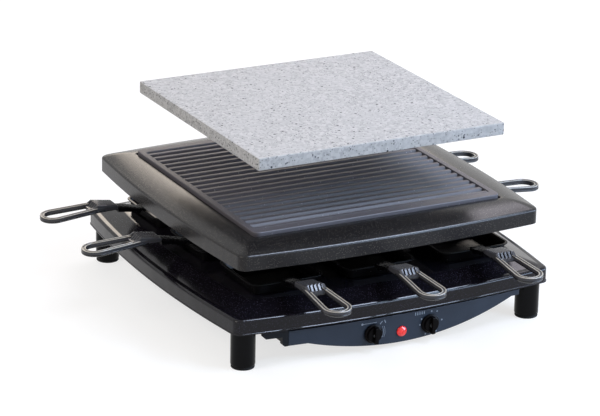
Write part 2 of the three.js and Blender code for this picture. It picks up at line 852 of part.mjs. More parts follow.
// Half of the element's route, from its end in the column; the other half mirrors it
function elementShape() {
  const half = [
    [elementEnds, 0, columnBottom + terminalHeight + fit],
    [elementEnds, 0, elementLevel],
    [elementEnds, -elementOuter, elementLevel],
    [elementOuter, -elementOuter, elementLevel],
    [elementOuter, elementOuter, elementLevel],
    [elementMiddle, elementOuter, elementLevel],
    [elementMiddle, -elementMiddle, elementLevel],
    [elementInner, -elementMiddle, elementLevel],
    [elementInner, elementMiddle, elementLevel],
  ];
  const right = half.map(([x, y, z]) => new THREE.Vector3(x, y, z));
  const left = half.map(([x, y, z]) => new THREE.Vector3(-x, y, z)).reverse();
  return bentTube([...right, ...left], elementBend, elementRadius);
}

put(grill, "heating_element", elementShape(), finishes.steel);

// Clips: saddles that stand on the carrier and hold the element from below
function clipShape() {
  const shape = new THREE.Shape();
  const seat = elementRadius + fit;
  shape.moveTo(-clipWidth / 2, carrierTop + fit);
  shape.lineTo(clipWidth / 2, carrierTop + fit);
  shape.lineTo(clipWidth / 2, elementLevel);
  shape.absarc(0, elementLevel, seat, 0, -2 * quarterTurn, true);
  shape.lineTo(-clipWidth / 2, elementLevel);
  shape.closePath();
  const geometry = new THREE.ExtrudeGeometry(shape, {
    depth: clipLength, bevelEnabled: false, curveSegments: smallRoundSteps / 2,
  });
  return geometry.translate(0, 0, -clipLength / 2).rotateX(quarterTurn);
}

for (const [name, side] of [["left", -1], ["right", 1]]) {
  put(groupAt(side * elementMiddle, elementMiddle, 0), `element_clip_${name}`, clipShape(), finishes.steel);
}

// Cast plate: a dished slab with ribs that run into its borders
function castPlateShape() {
  const ring = (inset, corner, height) =>
    atHeight(roundedRectangle(plateHalf - inset, plateHalf - inset, corner), height);
  const pocket = (spare, height) => atHeight(roundedRectangle(
    plateHalf - plateSideBorder - spare, plateHalf - plateFrontBorder - spare, plateCorner / 2), height);
  const slab = skin([
    ring(0, plateCorner, plateBottom),
    ring(0, plateCorner, plateTop - plateEdge),
    ring(plateEdge, plateCorner - plateEdge, plateTop),
    pocket(0, plateTop),
    pocket(plateEdge, plateFloor),
  ], false);
  const pocketDepth = 2 * (plateHalf - plateFrontBorder - plateEdge);
  const count = Math.floor((pocketDepth - ribFoot) / ribPitch) + 1;
  const ribLength = 2 * (plateHalf - plateSideBorder) + plateSideBorder;
  const profile = [
    [-ribFoot / 2, plateFloor - ribSunk], [ribFoot / 2, plateFloor - ribSunk], [ribFoot / 2, plateFloor],
    [ribTop / 2, plateFloor + ribHeight], [-ribTop / 2, plateFloor + ribHeight], [-ribFoot / 2, plateFloor],
  ];
  const ribs = [];
  for (let index = 0; index < count; index++) {
    const rib = drawnAlongY(profile, ribLength).rotateZ(quarterTurn);
    ribs.push(rib.translate(0, (index - (count - 1) / 2) * ribPitch, 0));
  }
  return join(slab, ...ribs);
}

put(grill, "cast_plate", castPlateShape(), finishes.castPlate);

// Stone slab
function stoneShape() {
  const ring = (inset, height) => atHeight(roundedRectangle(
    stoneHalf - inset, stoneHalf - inset, stoneCorner - inset), height);
  return skin([
    ring(stoneChamfer, stoneBottom),
    ring(0, stoneBottom + stoneChamfer),
    ring(0, stoneBottom + stoneThickness - stoneChamfer),
    ring(stoneChamfer, stoneBottom + stoneThickness),
  ], false);
}

put(groupAt(stoneShift, 0, 0), "stone_slab", stoneShape(), finishes.stone);

// Pans. Each is drawn about its own middle, with its handle towards +X, at its height on the tray.
function panShape() {
  const ring = (inset, height) =>
    atHeight(roundedRectangle(panHalf - inset, panHalf - inset, panCorner - inset), height);
  const heel = panLip + panDraft;
  return skin([
    ring(heel + panHeel, panBottom),
    ring(heel, panBottom + panHeel),
    ring(panLip, panRim - panSheet),
    ring(0, panRim - panSheet),
    ring(0, panRim),
    ring(panLip + panSheet / 2, panRim),
    ring(heel + panSheet, panBottom + panHeel + panSheet),
    ring(heel + panHeel + panSheet, panBottom + panSheet),
  ], false);
}

const tabBottom = panRim + fit;
const tabTop = tabBottom + armTab;
const armTop = tabTop + armRise;
const armEnd = panHalf + armLength;

function armShape() {
  const root = panHalf - armTabReach;
  const hook = panHalf + fit;
  const top = armShares.map(([along, up]) => [panHalf + armLength * along, tabTop + armRise * up]);
  const under = top.slice(1).map(([x, z]) => [x, z - armThickness]);
  const profile = [
    [root, tabBottom], [hook, tabBottom], [hook, tabBottom - armHook],
    [hook + armHook, tabBottom - armHook], ...under, ...top.reverse(), [root, tabTop],
  ];
  const plan = [
    [root - overrun, -armRootWidth / 2], [hook, -armRootWidth / 2],
    [armEnd + overrun, -armTipWidth / 2], [armEnd + overrun, armTipWidth / 2],
    [hook, armRootWidth / 2], [root - overrun, armRootWidth / 2],
  ].map(([x, y]) => new THREE.Vector2(x, y));
  return common(drawnAlongY(profile, armTipWidth + overrun), plate(plan, panBottom, armTop + overrun));
}

// Half the width between the rails where their opening starts
function openingHalf(slotStart) {
  const widening = (loopTipHalf - loopRootHalf) * slotStart / loopLength;
  return loopRootHalf + widening - loopRail + loopEdge;
}

// The loop, drawn flat from the collar outwards and then tilted down
function loopShape(slotStart) {
  const loop = new THREE.Shape();
  loop.absarc(loopLength, 0, loopTipHalf - loopEdge, -quarterTurn, quarterTurn, false);
  loop.lineTo(0, loopRootHalf - loopEdge);
  loop.lineTo(0, loopEdge - loopRootHalf);
  const slotRootHalf = openingHalf(slotStart);
  const slot = new THREE.Path();
  slot.absarc(loopLength, 0, loopTipHalf - loopRail + loopEdge, quarterTurn, -quarterTurn, true);
  slot.lineTo(slotStart, -slotRootHalf);
  slot.lineTo(slotStart, slotRootHalf);
  loop.holes.push(slot);
  const rails = new THREE.ExtrudeGeometry(loop, {
    depth: loopThickness - 2 * loopEdge, bevelEnabled: true, bevelThickness: loopEdge,
    bevelSize: loopEdge, bevelSegments: 1, curveSegments: loopSteps,
  });
  return rails.translate(0, 0, loopEdge - loopThickness).rotateY(Math.atan(loopFall / loopLength));
}

function gripShape() {
  const start = armEnd + fit;
  const hollowStart = start + collarRun;
  const hollowFoot = hollowStart + hollowRun;
  const slotStart = hollowFoot + hollowFloor;
  const crest = armTop + collarRise;
  const floor = crest - hollowDepth;
  const under = armTop - armThickness;
  const collar = drawnAlongY([
    [start, under], [slotStart, crest - railDrop - loopThickness], [slotStart, crest - railDrop],
    [hollowFoot, crest - railDrop], [hollowStart, crest],
    [start + collarEdge, crest - collarSlope + collarEdge],
    [start, crest - collarSlope],
  ], collarWidth);
  const railStart = hollowStart - railRoot;
  const rails = loopShape(slotStart - railStart).translate(railStart, 0, crest - railDrop);
  const mouth = openingHalf(slotStart - railStart);
  const hollowOutline = (foot) => [
    new THREE.Vector2(foot, -hollowWidth / 2), new THREE.Vector2(slotStart + loopEdge, -mouth),
    new THREE.Vector2(slotStart + loopEdge, mouth), new THREE.Vector2(foot, hollowWidth / 2),
  ];
  const hollowTop = hollowStart - overrun * hollowRun / hollowDepth;
  const hollow = skin([
    atHeight(hollowOutline(hollowFoot), floor),
    atHeight(hollowOutline(hollowTop), crest + overrun),
  ], false);
  const grooveProfile = [
    [hollowFoot - grooveDepth, floor], [hollowFoot + grooveDepth, floor],
    [hollowTop + grooveDepth, crest + overrun], [hollowTop - grooveDepth, crest + overrun],
  ];
  const grooves = [];
  for (let index = 0; index < grooveCount; index++) {
    const side = (index - (grooveCount - 1) / 2) * groovePitch;
    grooves.push(drawnAlongY(grooveProfile, grooveWidth).translate(0, side, 0));
  }
  return cut(join(collar, rails), hollow, ...grooves);
}

for (const place of panPlaceShares) {
  const turn = place.turn * Math.PI / 180;
  const reach = panReach * (1 - place.pushed);
  const middle = new THREE.Vector2(reach, place.along * panPitch).rotateAround(new THREE.Vector2(), turn);
  const pan = groupAt(middle.x, middle.y, 0);
  pan.rotation.z = turn;
  put(pan, `pan_${place.name}`, panShape(), finishes.panCoat);
  put(pan, `pan_arm_${place.name}`, armShape(), finishes.blackPlastic);
  put(pan, `pan_grip_${place.name}`, gripShape(), finishes.gripPlastic);
}

export default grill;
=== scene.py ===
"""The looks of a square raclette grill for eight pans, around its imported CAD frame. The scene is in metres.
Pieces are drawn in millimetres, from the boxes of the CAD nodes, and scaled when their meshes are made."""

import json
import math

import bmesh
import bpy
from mathutils import Matrix, Vector

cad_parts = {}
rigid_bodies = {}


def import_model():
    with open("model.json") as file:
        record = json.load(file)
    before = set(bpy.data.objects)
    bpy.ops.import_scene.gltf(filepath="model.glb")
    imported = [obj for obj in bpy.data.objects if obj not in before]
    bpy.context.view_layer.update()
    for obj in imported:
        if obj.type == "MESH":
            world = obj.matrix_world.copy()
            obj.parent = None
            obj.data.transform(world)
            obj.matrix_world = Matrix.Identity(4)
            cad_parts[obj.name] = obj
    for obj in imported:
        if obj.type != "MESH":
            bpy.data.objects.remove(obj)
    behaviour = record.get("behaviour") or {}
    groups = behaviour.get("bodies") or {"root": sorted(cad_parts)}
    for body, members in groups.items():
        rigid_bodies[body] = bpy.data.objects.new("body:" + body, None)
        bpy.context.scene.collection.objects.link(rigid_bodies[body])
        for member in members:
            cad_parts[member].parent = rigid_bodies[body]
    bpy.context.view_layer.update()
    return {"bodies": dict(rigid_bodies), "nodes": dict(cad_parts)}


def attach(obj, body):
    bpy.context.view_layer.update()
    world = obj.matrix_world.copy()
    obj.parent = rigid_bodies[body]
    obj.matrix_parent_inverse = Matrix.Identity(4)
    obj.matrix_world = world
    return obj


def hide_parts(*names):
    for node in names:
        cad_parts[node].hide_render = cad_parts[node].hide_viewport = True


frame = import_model()
nodes = frame["nodes"]
mm = 0.001


# Camera
def set_camera():
    """A long lens in front and a little above, turned to the grill's left front corner."""
    turn, height, roll = math.radians(-27.909), math.radians(19.685), math.radians(1.195)
    target, distance = Vector((-11.790, 12.574, 94.718)) * mm, 3347.542 * mm
    sensor_width, focal_length = 36, 173.715
    back = Vector((math.sin(turn) * math.cos(height), -math.cos(turn) * math.cos(height), math.sin(height)))
    level = Vector((math.cos(turn), math.sin(turn), 0))
    upright = back.cross(level)
    right = level * math.cos(roll) + upright * math.sin(roll)
    up = upright * math.cos(roll) - level * math.sin(roll)
    data = bpy.data.cameras.new("camera")
    data.sensor_width, data.lens = sensor_width, focal_length
    data.clip_start, data.clip_end = 0.05, 60
    camera = bpy.data.objects.new("camera", data)
    bpy.context.collection.objects.link(camera)
    axes = Matrix((right, up, back)).transposed().to_4x4()
    camera.matrix_world = Matrix.Translation(target + back * distance) @ axes
    bpy.context.scene.camera = camera


set_camera()
bpy.context.scene.view_settings.view_transform = "Standard"

# Sockets by number: of the node that mixes colours, and of the one that maps a range
first_colour, second_colour, mixed = 6, 7, 2
from_low, from_high, to_low, to_high = 1, 2, 3, 4


# Making materials
def colour(code):
    """An sRGB hex colour in linear values."""
    parts = [int(code[place:place + 2], 16) / 255 for place in (1, 3, 5)]
    return [part / 12.92 if part <= 0.04045 else ((part + 0.055) / 1.055) ** 2.4 for part in parts] + [1]


def add(tree, kind, inputs=None, **settings):
    """Adds a node with its settings. An input is given a value, a hex colour, or an output to link to."""
    node = tree.nodes.new(kind)
    for name, value in settings.items():
        setattr(node, name, value)
    for name, value in (inputs or {}).items():
        if isinstance(value, bpy.types.NodeSocket):
            tree.links.new(value, node.inputs[name])
        else:
            node.inputs[name].default_value = colour(value) if isinstance(value, str) else value
    return node


def new_material(name):
    """An empty material: its node tree, its shader, and the place on the object in metres."""
    material = bpy.data.materials.new(name)
    material.use_nodes = True
    tree = material.node_tree
    tree.nodes.clear()
    shader = add(tree, "ShaderNodeBsdfPrincipled")
    add(tree, "ShaderNodeOutputMaterial", {"Surface": shader.outputs[0]})
    place = add(tree, "ShaderNodeTexCoord").outputs["Object"]
    return material, tree, shader, place


def per_metre(size):
    """The scale of a pattern whose features are this many millimetres apart."""
    return 1000 / size


def see(shader, **values):
    """Sets sockets of the shader that are the same all over."""
    for name, value in values.items():
        shader.inputs[name.replace("_", " ")].default_value = value


def relief(tree, shader, height, strength, depth):
    """Bump from a height pattern, with its depth in millimetres, over any bump that is there already."""
    bump = add(tree, "ShaderNodeBump", {"Height": height, "Strength": strength, "Distance": depth * mm})
    if shader.inputs["Normal"].is_linked:
        tree.links.new(shader.inputs["Normal"].links[0].from_socket, bump.inputs["Normal"])
    tree.links.new(bump.outputs[0], shader.inputs["Normal"])


def specks(tree, place, spacing, share, spread):
    """A mask of round specks: the cells' spacing in millimetres, the share of them with a speck, its size."""
    cells = add(tree, "ShaderNodeTexVoronoi", {"Vector": place, "Scale": per_metre(spacing)})
    near = add(tree, "ShaderNodeMath", {0: cells.outputs["Distance"], 1: spread}, operation="LESS_THAN")
    pick = add(tree, "ShaderNodeSeparateColor", {0: cells.outputs["Color"]})
    chosen = add(tree, "ShaderNodeMath", {0: pick.outputs[0], 1: share}, operation="LESS_THAN")
    both = add(tree, "ShaderNodeMath", {0: near.outputs[0], 1: chosen.outputs[0]}, operation="MULTIPLY")
    return both.outputs[0]


def blend(tree, share, first, second):
    """Goes from the first colour to the second; each is a hex colour or an output."""
    ends = {"Factor": share, first_colour: first, second_colour: second}
    return add(tree, "ShaderNodeMix", ends, data_type="RGBA").outputs[mixed]


def coated_steel(name, base, fleck, roughness, share, spacing=1.9, shine=0.5, wave=0.0):
    """Sprayed and stoved coating with mineral flecks. Real flecks are about 0.3 mm and lie closer together.
    They are drawn 1.2 to 2.2 mm apart so that they show. The spray leaves a fine orange peel. Where a wave is
    given, in millimetres, the sheet below is slightly wavy, which breaks up the reflections on its edges."""
    peel, patches, waves, patchiness = 3, 60, 38, 0.12
    material, tree, shader, place = new_material(name)
    see(shader, Metallic=0, IOR=1.5, Specular_IOR_Level=shine)
    if wave:
        bent = add(tree, "ShaderNodeTexNoise", {"Vector": place, "Scale": per_metre(waves), "Detail": 1})
        relief(tree, shader, bent.outputs[0], 1, wave)
    flecks = specks(tree, place, spacing, share, 0.32)
    patch = add(tree, "ShaderNodeTexNoise", {"Vector": place, "Scale": per_metre(patches), "Detail": 2})
    ground = blend(tree, patchiness, base, blend(tree, patch.outputs[0], base, fleck))
    tree.links.new(blend(tree, flecks, ground, fleck), shader.inputs["Base Color"])
    fine = add(tree, "ShaderNodeTexNoise", {"Vector": place, "Scale": per_metre(peel), "Detail": 3})
    uneven = add(tree, "ShaderNodeMapRange", {"Value": fine.outputs[0], to_low: roughness - 0.04,
                                              to_high: roughness + 0.06})
    tree.links.new(uneven.outputs[0], shader.inputs["Roughness"])
    relief(tree, shader, fine.outputs[0], 0.15, 0.05)
    return material


def moulded_plastic(name, base, roughness, worn=None, shine=0.5, grain=0.9, depth=0.02):
    """Moulded plastic or ceramic: an even skin with the tool's fine grain, a little duller here and there. The
    grain is really about 0.2 mm and is drawn coarser so that it shows."""
    material, tree, shader, place = new_material(name)
    see(shader, Metallic=0, IOR=1.46, Specular_IOR_Level=shine)
    fine = add(tree, "ShaderNodeTexNoise", {"Vector": place, "Scale": per_metre(grain), "Detail": 2})
    wide = add(tree, "ShaderNodeTexNoise", {"Vector": place, "Scale": per_metre(25), "Detail": 2})
    uneven = add(tree, "ShaderNodeMapRange", {"Value": wide.outputs[0], to_low: roughness - 0.05,
                                              to_high: roughness + 0.05})
    tree.links.new(uneven.outputs[0], shader.inputs["Roughness"])
    tree.links.new(blend(tree, wide.outputs[0], base, worn or base), shader.inputs["Base Color"])
    relief(tree, shader, fine.outputs[0], 0.3, depth)
    return material


def metal(name, base, tint, roughness):
    """Bare or oxidised metal, rolled or drawn: cloudy patches of a few millimetres in its colour and sheen."""
    material, tree, shader, place = new_material(name)
    see(shader, Metallic=1)
    cloudy = add(tree, "ShaderNodeTexNoise", {"Vector": place, "Scale": per_metre(6), "Detail": 4})
    tree.links.new(blend(tree, cloudy.outputs[0], base, tint), shader.inputs["Base Color"])
    uneven = add(tree, "ShaderNodeMapRange", {"Value": cloudy.outputs[0], to_low: roughness - 0.08,
                                              to_high: roughness + 0.08})
    tree.links.new(uneven.outputs[0], shader.inputs["Roughness"])
    relief(tree, shader, cloudy.outputs[0], 0.2, 0.02)
    return material


def natural_stone():
    """Sawn and ground natural stone: pale grey crystals with grey and black mineral specks of up to 3 mm,
    slightly open pores and a dull ground surface."""
    material, tree, shader, place = new_material("natural_stone_ground")
    see(shader, IOR=1.5, Specular_IOR_Level=0.25, Roughness=0.62)
    crystal = add(tree, "ShaderNodeTexVoronoi", {"Vector": place, "Scale": per_metre(3.2)})
    grains = add(tree, "ShaderNodeSeparateColor", {0: crystal.outputs["Color"]})
    cloud = add(tree, "ShaderNodeTexNoise", {"Vector": place, "Scale": per_metre(70), "Detail": 3})
    cloudy = add(tree, "ShaderNodeMapRange", {"Value": cloud.outputs[0], from_low: 0.3, from_high: 0.7,
                                              to_low: 0, to_high: 0.5})
    tone = "#9a9a9b"
    layers = [(grains.outputs[1], "#bcbbbb"), (cloudy.outputs[0], "#b0b0b1"),
              (specks(tree, place, 2.3, 0.24, 0.36), "#80817f"),
              (specks(tree, place, 3.6, 0.15, 0.28), "#5c5d60"),
              (specks(tree, place, 6.5, 0.12, 0.22), "#36373b")]
    for mask, layer in layers:
        tone = blend(tree, mask, tone, layer)
    tree.links.new(tone, shader.inputs["Base Color"])
    pores = add(tree, "ShaderNodeTexNoise", {"Vector": place, "Scale": per_metre(1.4), "Detail": 3})
    relief(tree, shader, pores.outputs[0], 0.25, 0.12)
    return material


def signal_lens():
    """Clear red polycarbonate with a lit lamp behind it: it glows unevenly, as its inside is faceted."""
    material, tree, shader, place = new_material("signal_lens_polycarbonate")
    see(shader, Base_Color=colour("#e02424"), Roughness=0.12, IOR=1.58, Emission_Color=colour("#ff2a26"))
    facets = add(tree, "ShaderNodeTexVoronoi", {"Vector": place, "Scale": per_metre(2.4)})
    glow = add(tree, "ShaderNodeMapRange", {"Value": facets.outputs["Distance"], from_low: 0, from_high: 0.8,
                                            to_low: 0.5, to_high: 0.15})
    tree.links.new(glow.outputs[0], shader.inputs["Emission Strength"])
    return material


# Materials of the pressed, cast and stone parts
# Tray: wet black enamel, like dark glass, with faint violet flecks
enamel = coated_steel("stoved_enamel_flecked", "#0b0a0e", "#363240", 0.12, 0.3, spacing=1.2, shine=0.22,
                      wave=0.5)
# Hood: a duller, greyer black than the tray's, with warm pale points
hood_coat = coated_steel("hood_coating_flecked", "#151416", "#45413c", 0.24, 0.36, spacing=1.3, shine=0.24)
# Cast plate: matt dark grey, which spreads every highlight along the ribs
plate_coat = coated_steel("cast_aluminium_coated", "#47444a", "#737076", 0.5, 0.05, spacing=2.2, shine=0.36)
# Pans: smooth black with a faint sheen along the rim
pan_coat = coated_steel("pan_coating", "#09090a", "#2c2b2e", 0.17, 0.04, shine=0.08)
# Arms: black enamel that hardly shines
arm_steel = coated_steel("arm_enamelled_steel", "#08070a", "#2a2a2e", 0.26, 0.03, shine=0.015)
# Stone: pale and matt, the lightest thing in the picture
stone = natural_stone()

# Plastics
# Fascia: satin slate blue
fascia_plastic = moulded_plastic("fascia_abs_moulded", "#2b3340", 0.4, worn="#303947", shine=0.2)
# Feet: polished black, with one soft highlight down each post
black_plastic = moulded_plastic("foot_phenolic_moulded", "#040406", 0.2, shine=0.12)
# Knobs: black, darker than the panel behind them
knob_plastic = moulded_plastic("knob_abs_moulded", "#070506", 0.3, shine=0.06)
# Housing: bluish black, so that the panel's left end reads darker than the fascia
housing_plastic = moulded_plastic("housing_abs_moulded", "#0f131a", 0.4, shine=0.15)
# Covers and boxes below: dull black
dark_plastic = moulded_plastic("housing_polypropylene", "#08080a", 0.45, shine=0.12)
# Grips: dark grey and smooth
grip_plastic = moulded_plastic("grip_phenolic_glass_filled", "#38383c", 0.2, worn="#404044", shine=0.3)
# Ridges on the loops: two pale lines of painted highlight, a lighter copy of the grip plastic
ridge_highlight_plastic = moulded_plastic("grip_ridge_painted_highlight", "#a29d94", 0.14, worn="#aca79d", shine=0.3)
# Lower shell of the grips: nearly black below the joint, a darker copy of the grip plastic as painted shade
# under the loop
underside_shade_plastic = moulded_plastic("grip_underside_painted_shade", "#121214", 0.24, worn="#18181b")
# Pads: dead matt black
rubber = moulded_plastic("pad_rubber", "#0b0b0c", 0.75, shine=0.2, grain=0.6, depth=0.05)
# Terminals and thermostat: creamy white glazed ceramic
ceramic = moulded_plastic("terminal_steatite", "#e4e0d6", 0.45, worn="#d8d3c6")
# Printed marks: pale blue-grey ink
marking_ink = moulded_plastic("marking_ink_printed", "#8f9aab", 0.5, worn="#a3adbb", shine=0.2)
# Lens: a small red glow
lens_glow = signal_lens()

# Metals
# Column and carrier: dark oxide with a soft sheen
black_steel = metal("column_steel_blacked", "#1d1e21", "#2a2b2e", 0.45)
# Screws, shafts and clips: bright silver
bright_steel = metal("screw_steel_zinc", "#b5b8bd", "#9fa2a8", 0.3)
# Element: brown-grey scale from the heat
element_steel = metal("element_tube_oxidised", "#4f4d49", "#6a6358", 0.4)


# Floor, backdrop and lamps
def seen_directly(tree):
    """1 for rays from the camera, a shiny face or clear plastic, and 0 for those that light the pieces."""
    path = add(tree, "ShaderNodeLightPath")
    either = add(tree, "ShaderNodeMath", {0: path.outputs["Is Camera Ray"], 1: path.outputs["Is Glossy Ray"]},
                 operation="MAXIMUM")
    return add(tree, "ShaderNodeMath", {0: either.outputs[0], 1: path.outputs["Is Transmission Ray"]},
               operation="MAXIMUM").outputs[0]


def set_floor():
    """White paper. Seen directly it glows, so that it goes over into the backdrop, with the grill's shadow."""
    half = 4
    corners = [(x * half, y * half, 0) for x, y in ((-1, -1), (1, -1), (1, 1), (-1, 1))]
    mesh = bpy.data.meshes.new("floor")
    mesh.from_pydata(corners, [], [(0, 1, 2, 3)])
    floor = bpy.data.objects.new("floor", mesh)
    bpy.context.collection.objects.link(floor)
    material = bpy.data.materials.new("floor_paper")
    material.use_nodes = True
    tree = material.node_tree
    tree.nodes.clear()
    fibres = add(tree, "ShaderNodeTexNoise", {"Scale": per_metre(40)})
    matt = add(tree, "ShaderNodeBsdfDiffuse", {"Color": blend(tree, fibres.outputs[0], "#c6c6c6", "#c9c9c9")})
    faint = add(tree, "ShaderNodeBsdfDiffuse", {"Color": "#a0a0a0"})
    glow = add(tree, "ShaderNodeEmission", {"Color": "#ffffff", "Strength": 0.7})
    both = add(tree, "ShaderNodeAddShader", {0: faint.outputs[0], 1: glow.outputs[0]})
    shown = add(tree, "ShaderNodeMixShader", {0: seen_directly(tree), 1: matt.outputs[0], 2: both.outputs[0]})
    add(tree, "ShaderNodeOutputMaterial", {"Surface": shown.outputs[0]})
    mesh.materials.append(material)


def set_world():
    """A backdrop that is seen white and lights the pieces softly from all sides."""
    world = bpy.data.worlds.new("studio")
    bpy.context.scene.world = world
    world.use_nodes = True
    tree = world.node_tree
    tree.nodes.clear()
    soft = add(tree, "ShaderNodeBackground", {"Color": "#ffffff", "Strength": 0.45})
    white = add(tree, "ShaderNodeBackground", {"Color": "#ffffff", "Strength": 1})
    seen = seen_directly(tree)
    shown = add(tree, "ShaderNodeMixShader", {0: seen, 1: soft.outputs[0], 2: white.outputs[0]})
    add(tree, "ShaderNodeOutputWorld", {"Surface": shown.outputs[0]})


def lamp(name, place, target, width, depth, power, tint, gloss_only=False):
    """A softbox at a place, turned to a target. One for gloss only shows in shiny faces and lights nothing."""
    data = bpy.data.lights.new(name, "AREA")
    data.shape, data.size, data.size_y, data.energy = "RECTANGLE", width, depth, power
    data.color = colour(tint)[:3]
    box = bpy.data.objects.new(name, data)
    bpy.context.collection.objects.link(box)
    box.location = place
    box.rotation_euler = (Vector(target) - Vector(place)).to_track_quat("-Z", "Y").to_euler()
    box.visible_diffuse = not gloss_only
    box.visible_camera = False


set_floor()
set_world()
lamp("softbox_left", (-1.6, -0.3, 1.2), (0, 0, 0.1), 0.8, 0.8, 12.5, "#fff6ec")
lamp("softbox_back", (0.8, 2.1, 0.95), (0, 0, 0.1), 1.2, 0.5, 8, "#fff0df")
lamp("softbox_back_right", (1.0, 0.9, 1.8), (0, 0, 0.1), 1.0, 0.8, 14, "#fbf4ff")
lamp("softbox_top_right", (0.75, -0.85, 1.7), (0, 0, 0.1), 1.1, 0.4, 18, "#dfe9ff")
lamp("softbox_front", (1.05, -1.55, 1.2), (0, 0, 0.05), 0.5, 0.4, 15, "#c4e4ff")
lamp("softbox_low_right", (0.95, -0.8, 0.4), (0.1, -0.1, 0.05), 0.3, 0.3, 1.4, "#c9dcff")
lamp("shine_top_right", (0.75, -0.9, 1.7), (0, 0, 0.1), 1.1, 0.6, 60, "#cfe0ff", gloss_only=True)
lamp("shine_right", (1.65, -1.3, 0.3), (0, 0, 0.05), 3.0, 0.9, 110, "#c4dcff", gloss_only=True)


# Making pieces
class Box:
    """Where the sides and the middle of a CAD node lie, in millimetres, to the nearest micrometre."""
    def __init__(self, name):
        corners = [nodes[name].matrix_world @ Vector(corner) / mm for corner in nodes[name].bound_box]
        spans = [(round(min(values), 3), round(max(values), 3)) for values in zip(*corners)]
        (self.left, self.right), (self.front, self.back), (self.bottom, self.top) = spans
        self.x, self.y, self.z = [round((low + high) / 2, 3) for low, high in spans]
        self.half = round((self.right - self.left) / 2, 3)


def mesh_of(name, points, faces):
    """A mesh of points in millimetres, with its faces turned outwards."""
    mesh = bpy.data.meshes.new(name)
    mesh.from_pydata([tuple(value * mm for value in point) for point in points], [], faces)
    turn_outwards(mesh)
    return mesh


def turn_outwards(mesh):
    work = bmesh.new()
    work.from_mesh(mesh)
    bmesh.ops.recalc_face_normals(work, faces=work.faces)
    work.to_mesh(mesh)
    work.free()


def keep(name, body, mesh, material, replaced=(), sharp=32, weighted=True):
    """A piece with a finish, riding on a body and standing for some CAD nodes. It is shaded smooth, but for
    edges sharper than so many degrees."""
    mesh.materials.clear()
    mesh.materials.append(material)
    turn_outwards(mesh)
    mesh.shade_smooth()
    mesh.set_sharp_from_angle(angle=math.radians(sharp))
    made = bpy.data.objects.new(name, mesh)
    bpy.context.collection.objects.link(made)
    if weighted:
        made.modifiers.new("normals", "WEIGHTED_NORMAL").keep_sharp = True
    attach(made, body)
    if replaced:
        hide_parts(*replaced)


def softened(corners, steps=4):
    """A line through corners of (across, up, radius), with each corner but the ends rounded to its radius."""
    line = []
    for index, (across, up, radius) in enumerate(corners):
        here = Vector((across, up))
        if radius == 0 or index in (0, len(corners) - 1):
            line.append(tuple(here))
            continue
        before = Vector(corners[index - 1][:2]) - here
        after = Vector(corners[index + 1][:2]) - here
        half = before.angle(after) / 2
        reach = min(radius / math.tan(half), before.length * 0.49, after.length * 0.49)
        start, end = here + before.normalized() * reach, here + after.normalized() * reach
        centre = here + (before.normalized() + after.normalized()).normalized() * reach / math.cos(half)
        size = reach * math.tan(half)
        for step in range(steps + 1):
            along = start.lerp(end, step / steps) - centre
            line.append(tuple(centre + along.normalized() * size))
    return line


def both_sides(line):
    """Corners of a whole section from those of one half, from the bottom up: the other half mirrors it."""
    return line + [(-across, up, radius) for across, up, radius in reversed(line)]


def rounded_outline(half_x, half_y, corner, steps=6):
    """A rectangle with round corners, counter-clockwise."""
    points = []
    for quarter, (x, y) in enumerate(((1, 1), (-1, 1), (-1, -1), (1, -1))):
        for step in range(steps + 1):
            angle = (quarter + step / steps) * math.pi / 2
            points.append((x * (half_x - corner) + corner * math.cos(angle),
                           y * (half_y - corner) + corner * math.sin(angle)))
    return points


def bowed_outline(half, bow, corner, sides=24, turns=7):
    """A square whose sides bow outwards to its half width, with round corners, counter-clockwise."""
    core = half - bow - corner
    lean = math.atan(2 * bow / core)
    front = []
    for step in range(sides + 1):
        along = 2 * step / sides - 1
        angle = math.atan(2 * bow * along / core) - math.pi / 2
        front.append((along * core + corner * math.cos(angle),
                      corner * math.sin(angle) - core - bow * (1 - along * along)))
    for step in range(1, turns):
        angle = lean - math.pi / 2 + (math.pi / 2 - 2 * lean) * step / turns
        front.append((core + corner * math.cos(angle), corner * math.sin(angle) - core))
    outline = []
    for side in range(4):
        for x, y in front:
            for _ in range(side):
                x, y = -y, x
            outline.append((x, y))
    return outline


def at(outline, height):
    return [(x, y, height) for x, y in outline]


def skin(rings, endless=False):
    """Points and faces through rings of equally many points. An endless skin joins the last to the first."""
    count = len(rings[0])
    points = [point for ring in rings for point in ring]
    faces = []
    for span in range(len(rings) if endless else len(rings) - 1):
        low, high = span * count, (span + 1) % len(rings) * count
        for step in range(count):
            after = (step + 1) % count
            faces.append((low + step, low + after, high + after, high + step))
    if not endless:
        faces.append(tuple(reversed(range(count))))
        faces.append(tuple((len(rings) - 1) * count + step for step in range(count)))
    return points, faces


def turned(profile, steps=48, x=0, y=0):
    """A turned piece about an upright axis at x and y, from a line of radius and height."""
    rings = []
    for radius, height in profile:
        radius = max(radius, 0.01)
        rings.append([(x + radius * math.cos(math.tau * step / steps),
                       y + radius * math.sin(math.tau * step / steps), height) for step in range(steps)])
    return skin(rings)


def combine(name, first, tools, operation="DIFFERENCE"):
    """Cuts the tools from the first mesh, or joins them to it."""
    target = bpy.data.objects.new(name, first)
    bpy.context.collection.objects.link(target)
    helpers = []
    for tool in tools:
        helper = bpy.data.objects.new(f"{name}_tool", tool)
        bpy.context.collection.objects.link(helper)
        helpers.append(helper)
        change = target.modifiers.new("change", "BOOLEAN")
        change.operation, change.object, change.solver = operation, helper, "EXACT"
    bpy.context.view_layer.update()
    made = bpy.data.meshes.new_from_object(target.evaluated_get(bpy.context.evaluated_depsgraph_get()))
    for helper in helpers + [target]:
        bpy.data.objects.remove(helper)
    made.name = name
    return made


def moved(mesh, matrix):
    """A copy of a mesh, moved; the matrix is in metres."""
    other = mesh.copy()
    other.transform(matrix)
    return other


